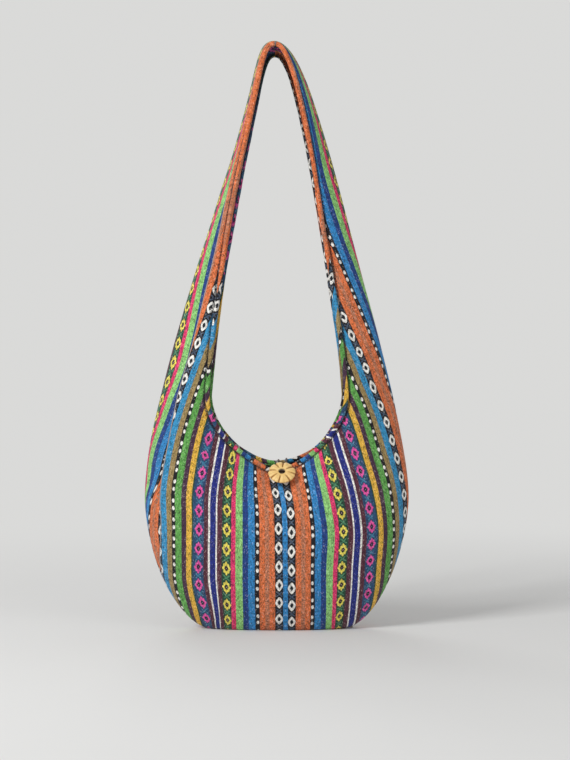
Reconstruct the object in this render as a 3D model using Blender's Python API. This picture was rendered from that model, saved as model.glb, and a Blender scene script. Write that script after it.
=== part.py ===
"""Striped woven crossbody bag with a scooped mouth and a wide strap that grows out of the body.

Metres, +Z up. The bag stands on z = 0 and its front, with the button, faces -Y.
Every cloth piece lies on one surface: the middle of the cloth. A horizontal section of that surface
is a quarter oval on each side of the side line, and above the mouth only the part near the side
line is left, which is the arm of the strap.
"""

import bpy
import bmesh
import numpy as np
from math import cos, pi, radians, sin, sqrt
from mathutils import Matrix, Vector

# Overall shape of the cloth
HEIGHT = 0.762
BODY_HALF_WIDTH = 0.171
WIDEST_HEIGHT = 0.170
BASE_HALF_LENGTH = 0.089
BASE_HALF_DEPTH = 0.023
BELLY_HALF_DEPTH = 0.059
BELLY_HEIGHT = 0.127
FLANK_ROUNDNESS = 1.18
BASE_ROUNDNESS = 1.5
CORNER_SHORTFALL = 0.05

# Scooped mouth, along the middle of its rolled edge
MOUTH_HEIGHT = 0.2145
MOUTH_HALF_GAP = 0.008
DRAWN_ABOVE = 0.025
DRAWN_SLOWNESS = 1.3
THROAT_HEIGHT = 0.303
THROAT_HALF_WIDTH = 0.089
MOUTH_SQUARENESS = 1.08
MOUTH_DIP = 0.012
MOUTH_DIP_WIDTH = 0.030
MOUTH_DIP_REACH = 0.060
MOUTH_DIP_LEAN = radians(40)

# Strap
ARCH_HEIGHT = 0.690
ARCH_HALF_WIDTH = 0.040
FLANK_SLOPE = -0.29
HIP_EASE = 0.090
STRAP_EASE = 0.230
ARCH_EASE = 0.042
APEX_EASE = 0.020
APEX_CLOTH = 0.043
THROAT_CLOTH = 0.080
APEX_CURL = 0.009
CURL_FALL = 1.45
CLOTH_FALL = 3
THROAT_EDGE_ANGLE = radians(65)
APEX_EDGE_ANGLE = radians(54)
CURL_SKEW = 0.3
CURL_SKEW_RISE = 0.42
STRAP_SWAY = 0.006
STRAP_SWAY_PEAK = 0.75
APEX_SHIFT = -0.005

# Cloth, edges and seams
CLOTH = 0.0024
CLEARANCE = 0.0003
EDGE_RADIUS = 0.0032
EDGE_CLEARANCE = 0.0007
BODY_SEAM_SHIFT = 0.036
STRAP_SEAM_SHIFT = 0.027
SEAM_SHIFT_START = 0.035
SEAM_SHIFT_FULL = 0.150
SEAM_NARROWS_FROM = 0.450
SEAM_NARROWS_TO = 0.660
SHOULDER_GAP = 0.0003

# Button, thread and closing loop
BUTTON_RADIUS = 0.0175
BUTTON_THICKNESS = 0.0050
BUTTON_DOME = 0.0022
BUTTON_ACROSS = 0.007
BUTTON_DROP = 0.0095
BUTTON_LEAN = radians(8)
PETALS = 8
PETAL_DEPTH = 0.0011
PETAL_SCALLOP = 0.0012
GROOVE_SHARPNESS = 0.45
DISH_RADIUS = 0.0052
DISH_DEPTH = 0.0014
HOLE_SPACING = 0.0056
HOLE_RADIUS = 0.0013
THREAD_RADIUS = 0.0009
THREAD_SEAT = 0.0012
LOOP_RADIUS = 0.0012
LOOP_LEG = 0.0052
BUTTON_TILT_ROOM = 0.0036

# Rows and columns of the cloth pieces
BASE_ROWS = 2
WALL_ROWS = 8
SHOULDER_ROWS = 4
MOUTH_ROWS = 9
ARM_ROWS = 9
ARCH_ROWS = 5
NARROW_COLUMNS = 10
WIDE_COLUMNS = 16

HALF_CLOTH = CLOTH / 2
BUTTON_STAND_OFF = EDGE_RADIUS + 2 * LOOP_RADIUS + 3 * CLEARANCE + BUTTON_TILT_ROOM
APEX_HEIGHT = HEIGHT - HALF_CLOTH
EDGE_INSET = EDGE_RADIUS + EDGE_CLEARANCE
SEAM_GAP = HALF_CLOTH + CLEARANCE
LEFT, RIGHT = -1, 1
FRONT, BACK = -1, 1


def clear_scene():
    for obj in list(bpy.data.objects):
        bpy.data.objects.remove(obj, do_unlink=True)


def material(name, colour, roughness):
    mat = bpy.data.materials.new(name)
    mat.use_nodes = True
    shader = mat.node_tree.nodes["Principled BSDF"]
    shader.inputs["Base Color"].default_value = (*colour, 1)
    shader.inputs["Roughness"].default_value = roughness
    shader.inputs["Metallic"].default_value = 0
    mat.diffuse_color = (*colour, 1)
    return mat


def smooth(t):
    t = np.clip(t, 0, 1)
    return t * t * (3 - 2 * t)


def bezier(ends, t):
    a, b, c, d = (np.array(point) for point in ends)
    return (1 - t) ** 3 * a + 3 * (1 - t) ** 2 * t * b + 3 * (1 - t) * t**2 * c + t**3 * d


FLANK = (
    (BODY_HALF_WIDTH, WIDEST_HEIGHT),
    (BODY_HALF_WIDTH, WIDEST_HEIGHT + HIP_EASE),
    (ARCH_HALF_WIDTH - FLANK_SLOPE * STRAP_EASE, ARCH_HEIGHT - STRAP_EASE),
    (ARCH_HALF_WIDTH, ARCH_HEIGHT),
)
ARCH = (
    (ARCH_HALF_WIDTH, ARCH_HEIGHT),
    (ARCH_HALF_WIDTH + FLANK_SLOPE * ARCH_EASE, ARCH_HEIGHT + ARCH_EASE),
    (APEX_EASE, APEX_HEIGHT),
    (0.0, APEX_HEIGHT),
)
FLANK_LINE = np.array([bezier(FLANK, t) for t in np.linspace(0, 1, 120)])


def flank_x(z):
    return np.interp(z, FLANK_LINE[:, 1], FLANK_LINE[:, 0])


def strap_left(z):
    """1 at the throat, falling to 0 at the apex."""
    return np.clip((APEX_HEIGHT - z) / (APEX_HEIGHT - THROAT_HEIGHT), 0, 1)


def arm_curl(z, side):
    """How far the arm's edge lies inward of its side line."""
    left = strap_left(z)
    throat_curl = flank_x(THROAT_HEIGHT) - THROAT_HALF_WIDTH
    curl = APEX_CURL + (throat_curl - APEX_CURL) * left**CURL_FALL
    return curl * (1 + side * CURL_SKEW * sin(pi * left**CURL_SKEW_RISE) ** 2)


def arm_out(z, side):
    """How far the arm's edge lies out in Y, where a quarter oval is as long as the arm's cloth."""
    cloth = APEX_CLOTH + (THROAT_CLOTH - APEX_CLOTH) * strap_left(z) ** CLOTH_FALL
    return sqrt(max(2 * (2 * cloth / pi) ** 2 - arm_curl(z, side) ** 2, (cloth / 3) ** 2))


def body_depth(z):
    """Semi-axis of the body's section in Y, before the mouth is drawn together."""
    if z < BELLY_HEIGHT:
        below = (BELLY_HEIGHT - z) / (BELLY_HEIGHT - HALF_CLOTH)
        fullness = (1 - min(below, 1) ** BASE_ROUNDNESS) ** (1 / BASE_ROUNDNESS)
        return BASE_HALF_DEPTH + (BELLY_HALF_DEPTH - BASE_HALF_DEPTH) * fullness
    throat_depth = arm_out(THROAT_HEIGHT, 0) / sin(THROAT_EDGE_ANGLE)
    share = smooth((z - BELLY_HEIGHT) / (THROAT_HEIGHT - BELLY_HEIGHT))
    return BELLY_HALF_DEPTH + (throat_depth - BELLY_HALF_DEPTH) * share


def drawing(z):
    """How strongly the button draws the front and back together at this height, 1 at the most."""
    peak = MOUTH_HEIGHT + DRAWN_ABOVE
    if z < peak:
        rise = max(0, (z - BELLY_HEIGHT) / (peak - BELLY_HEIGHT))
        return sin(pi / 2 * rise**DRAWN_SLOWNESS) ** 2
    return 1 - smooth((z - peak) / (THROAT_HEIGHT - peak))


def drawn(z):
    """Share of the depth that is lost at the middle of the bag."""
    at_mouth = 1 - MOUTH_HALF_GAP / body_depth(MOUTH_HEIGHT)
    return at_mouth * drawing(z) / drawing(MOUTH_HEIGHT)


class Section:
    """One section of the cloth's middle surface on one side of the bag: part of an oval whose
    angle is 0 on the side line and ends at the edge, or at pi/2 in the middle of the bag."""

    def __init__(self, x, z, length, depth, edge=pi / 2, tilt=0.0, drawn=0.0):
        self.x, self.z = x, z
        self.length, self.depth = length, depth
        self.edge, self.tilt, self.drawn = edge, tilt, drawn
        self.angles = np.linspace(0, edge, 60)
        inward, out = self.profile(self.angles)
        steps = np.hypot(np.diff(inward), np.diff(out))
        self.lengths = np.concatenate([[0], np.cumsum(steps)])

    def profile(self, angle):
        """(inward, out): how far a point lies from the side line, across the bag and in depth."""
        share = 1 - np.cos(angle)
        pull = np.sin(pi / 2 * share**2) ** 2
        return self.length * share, self.depth * np.sin(angle) * (1 - self.drawn * pull)

    def angle_of(self, length):
        """Signed angle of the point this far along the cloth from the side line."""
        return np.sign(length) * np.interp(abs(length), self.lengths, self.angles)

    def point(self, side, angle, least=0.0):
        inward, out = self.profile(abs(angle))
        out = max(out, least)
        across = self.x - inward * cos(self.tilt)
        up = self.z - inward * sin(self.tilt)
        return hang(Vector((side * across, out if angle > 0 else -out, up)))


def hang(point):
    """The small sideways sway of the strap, and the dip of the front edge under the button."""
    x, y, z = point
    q = max(0.0, (z - THROAT_HEIGHT) / (HEIGHT - THROAT_HEIGHT))
    most = STRAP_SWAY_PEAK**3 * (1 - STRAP_SWAY_PEAK)
    x += STRAP_SWAY * q**3 * (1 - q) / most + APEX_SHIFT * q**6
    if y < 0 and z < THROAT_HEIGHT:
        near = smooth((z - MOUTH_HEIGHT + MOUTH_DIP_REACH) / MOUTH_DIP_REACH)
        dip = MOUTH_DIP * near * np.exp(-((x / MOUTH_DIP_WIDTH) ** 2))
        z -= dip * cos(MOUTH_DIP_LEAN)
        y -= dip * sin(MOUTH_DIP_LEAN)
    return Vector((x, y, z))


def seam_shift(z):
    """How far the side seam lies from the side line, along the cloth."""
    rise = smooth((z - SEAM_SHIFT_START) / (SEAM_SHIFT_FULL - SEAM_SHIFT_START))
    fall = smooth((z - SEAM_NARROWS_FROM) / (SEAM_NARROWS_TO - SEAM_NARROWS_FROM))
    return float(BODY_SEAM_SHIFT * rise - (BODY_SEAM_SHIFT - STRAP_SEAM_SHIFT) * fall)


def body_section(z, x):
    return Section(x, z, x, body_depth(z), drawn=drawn(z))


def body_sections(inset):
    """Sections from the bottom seam up to just below the mouth."""
    found = []
    for row in range(BASE_ROWS):
        share = row / BASE_ROWS
        length = BASE_HALF_LENGTH * (1 - CORNER_SHORTFALL * (1 - share))
        found.append(Section(length, HALF_CLOTH, length, BASE_HALF_DEPTH * share))
    for row in range(WALL_ROWS + 1):
        angle = pi / 2 * row / WALL_ROWS
        out, up = sin(angle) ** FLANK_ROUNDNESS, 1 - cos(angle) ** FLANK_ROUNDNESS
        x = BASE_HALF_LENGTH + (BODY_HALF_WIDTH - BASE_HALF_LENGTH) * out
        z = HALF_CLOTH + (WIDEST_HEIGHT - HALF_CLOTH) * up
        found.append(body_section(z, x))
    for row in range(1, SHOULDER_ROWS):
        z = WIDEST_HEIGHT + (MOUTH_HEIGHT - inset - WIDEST_HEIGHT) * row / SHOULDER_ROWS
        found.append(body_section(z, flank_x(z)))
    return found


def mouth_sections(inset):
    """Sections beside the mouth, the first at its lowest point."""
    arm_length = (flank_x(THROAT_HEIGHT) - THROAT_HALF_WIDTH) / (1 - cos(THROAT_EDGE_ANGLE))
    found = []
    for row in range(MOUTH_ROWS):
        angle = pi / 2 * row / MOUTH_ROWS
        tip = (THROAT_HALF_WIDTH + inset) * sin(angle) ** MOUTH_SQUARENESS
        below = (THROAT_HEIGHT - MOUTH_HEIGHT + inset) * cos(angle) ** MOUTH_SQUARENESS
        z = THROAT_HEIGHT - below
        x = flank_x(z)
        share = smooth((z - MOUTH_HEIGHT) / (THROAT_HEIGHT - MOUTH_HEIGHT))
        length = x + (arm_length - x) * share
        edge = np.arccos(1 - (x - tip) / length)
        found.append(Section(x, z, length, body_depth(z), edge, drawn=drawn(z)))
    return found


def arm_section(x, z, side, tilt, inset):
    """The inset is taken off across the bag at the throat and along the cloth at the apex."""
    left = strap_left(z)
    full_edge = APEX_EDGE_ANGLE + (THROAT_EDGE_ANGLE - APEX_EDGE_ANGLE) * left
    length = arm_curl(z, side) / (1 - cos(full_edge))
    edge = np.arccos(cos(full_edge) + inset * left / length)
    section = Section(x, z, length, arm_out(z, side) / sin(full_edge), edge, tilt)
    section.edge = section.angle_of(section.lengths[-1] - inset * (1 - left))
    return section


def arm_sections(side, inset):
    found = []
    for row in range(ARM_ROWS):
        z = THROAT_HEIGHT + (ARCH_HEIGHT - THROAT_HEIGHT) * row / ARM_ROWS
        tilt = -np.arctan(FLANK_SLOPE) * smooth(row / ARM_ROWS)
        found.append(arm_section(flank_x(z), z, side, tilt, inset))
    for row in range(ARCH_ROWS + 1):
        t = sin(pi / 2 * row / ARCH_ROWS)
        x, z = bezier(ARCH, t)
        ahead, behind = bezier(ARCH, min(t + 0.01, 1)), bezier(ARCH, max(t - 0.01, 0))
        tilt = pi / 2 - np.arctan2(ahead[1] - behind[1], behind[0] - ahead[0])
        tilt = pi / 2 if row == ARCH_ROWS else tilt
        found.append(arm_section(max(x, SHOULDER_GAP / 2), z, side, tilt, inset))
    return found


def panel_side(side, face, wide):
    """Rows of points from the panel's middle or edge round to its seam on this side of the bag."""
    rows = []
    below = body_sections(EDGE_INSET)
    above = mouth_sections(EDGE_INSET) + arm_sections(side, EDGE_INSET)
    for number, section in enumerate(below + above):
        shift = seam_shift(section.z) * (1 if wide else -1)
        end = -face * section.angle_of(shift - SEAM_GAP)
        start = face * section.edge
        columns = WIDE_COLUMNS if wide else NARROW_COLUMNS
        least = SEAM_GAP if number < BASE_ROWS else 0
        angles = np.linspace(start, end, columns + 1)
        rows.append([section.point(side, angle, least) for angle in angles])
    return rows, len(below)


def add_object(name, mesh_or_curve, mat):
    obj = bpy.data.objects.new(name, mesh_or_curve)
    bpy.context.scene.collection.objects.link(obj)
    obj.data.materials.append(mat)
    return obj


def panel(name, face, mat):
    """The front or back of the bag with its two half arms. The seams spiral: each panel is narrow
    on one arm and wide on the other, so both panels have the same cut."""
    wide_side = RIGHT if face == FRONT else LEFT
    bm = bmesh.new()
    grids = []
    joined = []
    for side in (wide_side, -wide_side):
        rows, split = panel_side(side, face, side == wide_side)
        grid = []
        for number, row in enumerate(rows):
            shared = [joined[number]] if joined and number <= split else []
            grid.append(shared + [bm.verts.new(point) for point in row[len(shared):]])
        joined = joined or [row[0] for row in grid]
        grids.append((side, grid))
    for side, grid in grids:
        for low, high in zip(grid, grid[1:]):
            for k in range(len(low) - 1):
                corners = [low[k], low[k + 1], high[k + 1], high[k]]
                bm.faces.new(corners if side * face == FRONT * RIGHT else corners[::-1])
    mesh = bpy.data.meshes.new(name)
    bm.to_mesh(mesh)
    bm.free()
    mesh.shade_smooth()
    obj = add_object(name, mesh, mat)
    thickness = obj.modifiers.new("cloth thickness", "SOLIDIFY")
    thickness.thickness = CLOTH
    thickness.offset = 0
    thickness.use_even_offset = True
    return obj


def tube(name, points, radius, mat, closed):
    curve = bpy.data.curves.new(name, "CURVE")
    curve.dimensions = "3D"
    curve.bevel_depth = radius
    curve.bevel_resolution = 1
    curve.use_fill_caps = not closed
    spline = curve.splines.new("POLY")
    spline.points.add(len(points) - 1)
    for spot, point in zip(spline.points, points):
        spot.co = (*point, 1)
    spline.use_cyclic_u = closed
    return add_object(name, curve, mat)


def edge_points(side, face):
    """Middle line of the rolled edge on one side, from the mouth's lowest point to the apex."""
    sections = mouth_sections(0) + arm_sections(side, 0)
    return [section.point(side, face * section.edge) for section in sections]


def rolled_edge(name, face, mat):
    """The edge of the mouth and of the strap in one closed round."""
    right, left = edge_points(RIGHT, face), edge_points(LEFT, face)
    apex = (right[-1] + left[-1]) / 2
    points = right[:-1] + [apex] + left[-2:0:-1]
    return tube(name, points, EDGE_RADIUS, mat, closed=True)


def seam_points(side):
    """From the bottom seam's corner up the side to the apex. The left seam lies towards the
    front and the right seam towards the back."""
    face = FRONT if side == LEFT else BACK
    sections = body_sections(EDGE_INSET) + mouth_sections(EDGE_INSET) + arm_sections(side, EDGE_INSET)
    return [s.point(side, face * s.angle_of(seam_shift(s.z))) for s in sections[1:]]


def seam_cord(mat):
    left, right = seam_points(LEFT), seam_points(RIGHT)
    return tube("side_seam_cord", left[::-1] + right, HALF_CLOTH, mat, closed=False)


def edge_at(x, face):
    """The middle of the rolled edge this far across, near the middle of the mouth."""
    left, right = edge_points(LEFT, face), edge_points(RIGHT, face)
    line = np.array(left[MOUTH_ROWS:0:-1] + right[:MOUTH_ROWS])
    return Vector([np.interp(x, line[:, 0], line[:, axis]) for axis in range(3)])


def front_point(x, z):
    """The middle of the front panel's cloth this far across, at a height below the mouth."""
    section = body_section(z, flank_x(z))
    angle = np.arccos(1 - (section.x - abs(x)) / section.length)
    return section.point(LEFT if x < 0 else RIGHT, FRONT * angle)


def button_frame():
    """Middle of the button's back and its axes: across, up the panel, and out of the panel."""
    foot = front_point(BUTTON_ACROSS, MOUTH_HEIGHT - BUTTON_DROP)
    above = front_point(BUTTON_ACROSS, MOUTH_HEIGHT - BUTTON_DROP + DISH_RADIUS)
    across = Vector((1, 0, 0))
    out = across.cross(above - foot).normalized()
    middle = foot + out * BUTTON_STAND_OFF
    out = out * cos(BUTTON_LEAN) + out.cross(across) * sin(BUTTON_LEAN)
    return middle, across, out.cross(across), out


def button_height(r, angle):
    """Height of the carved face above the button's back."""
    share = r / BUTTON_RADIUS
    height = BUTTON_THICKNESS - BUTTON_DOME * share**3
    groove = 1 - abs(sin(PETALS * angle / 2)) ** GROOVE_SHARPNESS
    height -= PETAL_DEPTH * groove * float(smooth((r - DISH_RADIUS) / (0.25 * BUTTON_RADIUS)))
    if r < DISH_RADIUS:
        height -= DISH_DEPTH * float(smooth((DISH_RADIUS - r) / (0.4 * DISH_RADIUS)))
    return height


def button(mat):
    segments = PETALS * 8
    radii = [0.5 * DISH_RADIUS, 0.7 * DISH_RADIUS, DISH_RADIUS, 1.35 * DISH_RADIUS]
    radii += [0.60 * BUTTON_RADIUS, 0.82 * BUTTON_RADIUS, 0.95 * BUTTON_RADIUS, BUTTON_RADIUS]
    bm = bmesh.new()
    rings = []
    for number, r in enumerate(radii + [BUTTON_RADIUS, 0.9 * BUTTON_RADIUS]):
        ring = []
        for k in range(segments):
            angle = 2 * pi * k / segments
            scallop = 1 - PETAL_SCALLOP / BUTTON_RADIUS * (1 - abs(sin(PETALS * angle / 2)))
            reach = r * (1 + (scallop - 1) * float(smooth((r / BUTTON_RADIUS - 0.5) / 0.5)))
            height = button_height(r, angle)
            if number == len(radii):
                height = 0.25 * BUTTON_THICKNESS
            if number > len(radii):
                height = 0.0
            ring.append(bm.verts.new((reach * cos(angle), reach * sin(angle), height)))
        rings.append(ring)
    for low, high in zip(rings, rings[1:]):
        for k in range(segments):
            near = (k + 1) % segments
            bm.faces.new((low[k], high[k], high[near], low[near]))
    bm.faces.new(rings[0])
    bm.faces.new(rings[-1][::-1])
    mesh = bpy.data.meshes.new("button")
    bm.to_mesh(mesh)
    bm.free()
    mesh.shade_smooth()
    obj = add_object("button", mesh, mat)
    origin, across, up, out = button_frame()
    obj.matrix_world = Matrix.Translation(origin) @ Matrix((across, up, out)).transposed().to_4x4()
    for number, place in enumerate((-HOLE_SPACING / 2, HOLE_SPACING / 2)):
        cutter = hole_cutter(f"thread_hole_{number}", place)
        cutter.parent = obj
        cut = obj.modifiers.new(f"hole {number}", "BOOLEAN")
        cut.operation = "DIFFERENCE"
        cut.solver = "EXACT"
        cut.object = cutter
    return obj


def hole_cutter(name, place):
    bm = bmesh.new()
    size = {"radius1": HOLE_RADIUS, "radius2": HOLE_RADIUS, "depth": 3 * BUTTON_THICKNESS}
    bmesh.ops.create_cone(bm, cap_ends=True, segments=12, **size)
    mesh = bpy.data.meshes.new(name)
    bm.to_mesh(mesh)
    bm.free()
    cutter = bpy.data.objects.new(name, mesh)
    bpy.context.scene.collection.objects.link(cutter)
    cutter.location = (place, 0, 0)
    cutter.hide_render = True
    cutter.display_type = "WIRE"
    return cutter


def button_thread(mat):
    """Thread up one hole, across the dish and down the other, sewn to the front panel."""
    origin, across, up, out = button_frame()
    half = HOLE_SPACING / 2
    top = BUTTON_THICKNESS - DISH_DEPTH + THREAD_RADIUS + CLEARANCE
    legs = []
    for place in (-half, half):
        cloth = front_point(BUTTON_ACROSS + place, MOUTH_HEIGHT - BUTTON_DROP)
        sewn = (cloth - origin).dot(out) + HALF_CLOTH + THREAD_SEAT
        legs.append([(place, sewn), (place, top - THREAD_RADIUS), (0.6 * place, top)])
    path = legs[0] + legs[1][::-1]
    points = [origin + across * place + out * height for place, height in path]
    return tube("button_thread", points, THREAD_RADIUS, mat, closed=False)


def closing_loop(mat):
    """A cord loop sewn to the back edge, over the front edge and round the thread behind the button."""
    origin, across, up, out = button_frame()
    behind = origin - out * (LOOP_RADIUS + CLEARANCE)
    over = EDGE_RADIUS + LOOP_RADIUS + 2 * CLEARANCE
    turn = [across * cos(t) + up * sin(t) for t in np.linspace(0, pi, 7)]
    bend = [behind - direction * LOOP_LEG for direction in turn]
    legs = []
    for x in (BUTTON_ACROSS - LOOP_LEG, BUTTON_ACROSS + LOOP_LEG):
        front, back = edge_at(x, FRONT), edge_at(x, BACK)
        sewn = back + Vector((0, -0.6, 0.8)) * over
        wrap = [front + (out * cos(t) + up * sin(t)) * over for t in np.radians((100, 70, 40, 10))]
        legs.append([sewn, (wrap[0] + sewn) / 2 + Vector((0, 0, 0.3 * over)), *wrap])
    return tube("closing_loop", legs[0] + bend + legs[1][::-1], LOOP_RADIUS, mat, closed=False)


def build():
    clear_scene()
    stripes_front = material("woven stripes front", (0.62, 0.20, 0.07), 0.9)
    stripes_back = material("woven stripes back", (0.10, 0.28, 0.42), 0.9)
    rolled_front = material("rolled edge front", (0.55, 0.10, 0.12), 0.85)
    rolled_back = material("rolled edge back", (0.25, 0.40, 0.15), 0.85)
    pale_cord = material("pale cord", (0.70, 0.66, 0.58), 0.8)
    wood = material("pale carved wood", (0.80, 0.52, 0.20), 0.5)
    thread = material("dark thread", (0.04, 0.03, 0.03), 0.8)
    loop_cord = material("grey loop cord", (0.30, 0.29, 0.28), 0.8)
    panel("front_panel", FRONT, stripes_front)
    panel("back_panel", BACK, stripes_back)
    rolled_edge("front_rolled_edge", FRONT, rolled_front)
    rolled_edge("back_rolled_edge", BACK, rolled_back)
    seam_cord(pale_cord)
    button(wood)
    button_thread(thread)
    closing_loop(loop_cord)


build()
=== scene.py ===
"""Looks of the striped woven crossbody bag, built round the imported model.

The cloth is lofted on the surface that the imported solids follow: sections of the cloth's middle,
from the base up the body, beside the mouth and along both arms of the strap. Each point also gets
its place on the woven cloth, so that the stripes and motifs run as they do on the real bag.
Metres, +Z up, front at -Y.
"""

from functools import partialmethod
from math import cos, pi, radians, sin, sqrt

import bpy
import numpy as np
from mathutils import Matrix, Vector, kdtree, noise


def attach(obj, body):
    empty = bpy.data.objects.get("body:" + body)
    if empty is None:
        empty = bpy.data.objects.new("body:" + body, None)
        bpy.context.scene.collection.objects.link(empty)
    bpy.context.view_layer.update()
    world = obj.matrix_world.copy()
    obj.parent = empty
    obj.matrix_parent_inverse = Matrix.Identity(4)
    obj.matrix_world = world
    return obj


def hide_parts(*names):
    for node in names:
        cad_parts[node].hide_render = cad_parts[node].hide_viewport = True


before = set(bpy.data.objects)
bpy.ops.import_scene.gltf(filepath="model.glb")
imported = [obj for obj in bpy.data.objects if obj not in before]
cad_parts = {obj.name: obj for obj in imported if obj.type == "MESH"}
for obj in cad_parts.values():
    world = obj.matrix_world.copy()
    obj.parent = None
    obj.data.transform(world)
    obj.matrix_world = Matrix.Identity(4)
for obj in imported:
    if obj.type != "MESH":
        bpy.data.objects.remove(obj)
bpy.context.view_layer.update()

# Without a seed, Blender's noise vectors change with the clock
NOISE_SEED = 7
noise.seed_set(NOISE_SEED)

# Overall shape of the cloth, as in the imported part
HEIGHT = 0.762
BODY_HALF_WIDTH = 0.171
WIDEST_HEIGHT = 0.170
BASE_HALF_LENGTH = 0.089
BASE_HALF_DEPTH = 0.023
BELLY_HALF_DEPTH = 0.059
BELLY_HEIGHT = 0.127
FLANK_ROUNDNESS = 1.18
BASE_ROUNDNESS = 1.5
CORNER_SHORTFALL = 0.05
MOUTH_HEIGHT = 0.2145
MOUTH_HALF_GAP = 0.008
DRAWN_ABOVE = 0.025
DRAWN_SLOWNESS = 1.3
THROAT_HEIGHT = 0.303
THROAT_HALF_WIDTH = 0.089
MOUTH_SQUARENESS = 1.08
MOUTH_DIP = 0.012
MOUTH_DIP_WIDTH = 0.030
MOUTH_DIP_REACH = 0.060
MOUTH_DIP_LEAN = radians(40)
ARCH_HEIGHT = 0.690
ARCH_HALF_WIDTH = 0.040
FLANK_SLOPE = -0.29
HIP_EASE = 0.090
STRAP_EASE = 0.230
ARCH_EASE = 0.042
APEX_EASE = 0.020
APEX_CLOTH = 0.043
THROAT_CLOTH = 0.080
APEX_CURL = 0.009
CURL_FALL = 1.45
CLOTH_FALL = 3
THROAT_EDGE_ANGLE = radians(65)
APEX_EDGE_ANGLE = radians(54)
CURL_SKEW = 0.3
CURL_SKEW_RISE = 0.42
STRAP_SWAY = 0.006
STRAP_SWAY_PEAK = 0.75
APEX_SHIFT = -0.005
CLOTH = 0.0024
EDGE_RADIUS = 0.0032
CLEARANCE = 0.0003
BODY_SEAM_SHIFT = 0.036
STRAP_SEAM_SHIFT = 0.027
SEAM_SHIFT_START = 0.035
SEAM_SHIFT_FULL = 0.150
SEAM_NARROWS_FROM = 0.450
SEAM_NARROWS_TO = 0.660

# Button, thread and closing loop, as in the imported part
BUTTON_RADIUS = 0.0175
BUTTON_THICKNESS = 0.0050
BUTTON_DOME = 0.0022
BUTTON_ACROSS = 0.007
BUTTON_DROP = 0.0095
BUTTON_LEAN = radians(8)
PETALS = 8
DISH_RADIUS = 0.0052
DISH_DEPTH = 0.0014
HOLE_SPACING = 0.0056
HOLE_RADIUS = 0.0013
THREAD_RADIUS = 0.0009
LOOP_RADIUS = 0.0012
LOOP_LEG = 0.0052
BUTTON_TILT_ROOM = 0.0036

# The button's carving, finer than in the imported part. The edge is in pairs of share of the radius
# and drop, the back in shares of the radius.
COLUMNS_A_PETAL = 26
FACE_SHARE = 0.94
PETAL_TURN = 0.19
GROOVE = 0.00170
GROOVE_WIDTH = 0.16
GROOVE_BITE = 0.075
VEIN = 0.00050
CROWN = 0.00095
ROUGHNESS = 0.00006
HOLE_DEPTH = 0.0022
BUTTON_EDGE = ((0.975, -0.00035), (1.0, -0.0010), (1.0, -0.0022), (0.97, -0.0030))
BUTTON_BACK = (0.93, 0.05)

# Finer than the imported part: rows and columns of the loft, and the cloth as it shows
BASE_ROWS = 4
WALL_ROWS = 46
SHOULDER_ROWS = 18
BODY_ROWS = BASE_ROWS + WALL_ROWS + SHOULDER_ROWS
MOUTH_ROWS = 60
ARM_ROWS = 64
ARCH_ROWS = 28
NARROW_COLUMNS = 44
WIDE_COLUMNS = 84
SHOWN_CLOTH = 0.0018
TUCK = 0.0012
SEAM_TUCK = 0.0007
SEAM_CORD_RADIUS = 0.0010
CREASE = 0.0026
CREASE_REACH = 0.0090

# Soft unevenness of the cloth: how far it moves, how fast it changes along each axis, and where in
# the noise it starts. The base keeps still.
SAG = 0.0016
SAG_RATE = (9, 9, 6)
SAG_START = (3.1, 0.7, 5.2)
FOLD = 0.0009
FOLD_RATE = (34, 34, 9)
FOLD_START = (0.4, 8.3, 1.9)
STILL_BELOW = 0.004
FREE_OVER = 0.05

LEFT, RIGHT = -1, 1
FRONT, BACK = -1, 1

# Where the stripes lie, in pairs of height and distance across the cloth. The front's middle stripes
# are moved right. The other tables give how much more cloth than the half section's length lies from
# the middle to a side line, or on the back how much less.
CENTRE_SHIFT = ((0.14, 0.0112), (0.172, 0.0092), (0.190, 0.0062), (0.206, 0.0022))
LEFT_EXTRA = (
    (0.08, 0.0105), (0.14, 0.0115), (0.20, 0.0120), (0.232, 0.0110), (0.26, 0.0125),
    (0.30, 0.0185), (0.34, 0.0210), (0.38, 0.0250), (0.42, 0.0300), (0.48, 0.0320), (0.762, 0.0330),
)
RIGHT_EXTRA = (
    (0.08, -0.0088), (0.11, -0.0112), (0.135, -0.0112), (0.155, -0.0072), (0.187, -0.0012),
    (0.232, 0.0035), (0.26, 0.0070), (0.29, 0.0130),
    (0.31, 0.0185), (0.35, 0.0215), (0.38, 0.0275), (0.42, 0.0330), (0.45, 0.0385),
    (0.48, 0.0435), (0.506, 0.0480), (0.60, 0.0580), (0.762, 0.0640),
)
BACK_EXTRA = (
    (0.12, 0.0), (0.145, 0.003), (0.166, 0.009), (0.187, 0.016), (0.207, 0.024), (0.231, 0.031),
    (0.26, 0.038), (0.30, 0.045), (0.34, 0.049), (0.43, 0.045), (0.52, 0.042), (0.635, 0.051),
    (0.762, 0.056),
)
LEFT_FLANK_EXTRA = (
    (0.03, -0.012), (0.05, -0.016), (0.075, -0.018), (0.09, -0.016), (0.108, -0.008), (0.133, 0.001),
    (0.16, 0.003), (0.18, 0.007), (0.195, 0.010), (0.215, 0.004), (0.235, 0.0),
)
ROUNDED = 0.014
FAN_OUT = 0.080

# Stripes drawn together low on the front, by this much at each side
GATHERING = {LEFT: 0.0115, RIGHT: 0.0045}
GATHERED_BELOW = 0.072
GATHERED_FROM = 0.060
GATHERED_OVER = 0.030

# Stripes drawn together at the right of the strap's top
SQUEEZE = 0.016
SQUEEZED_ABOVE = 0.53
SQUEEZED_OVER = 0.20

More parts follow.
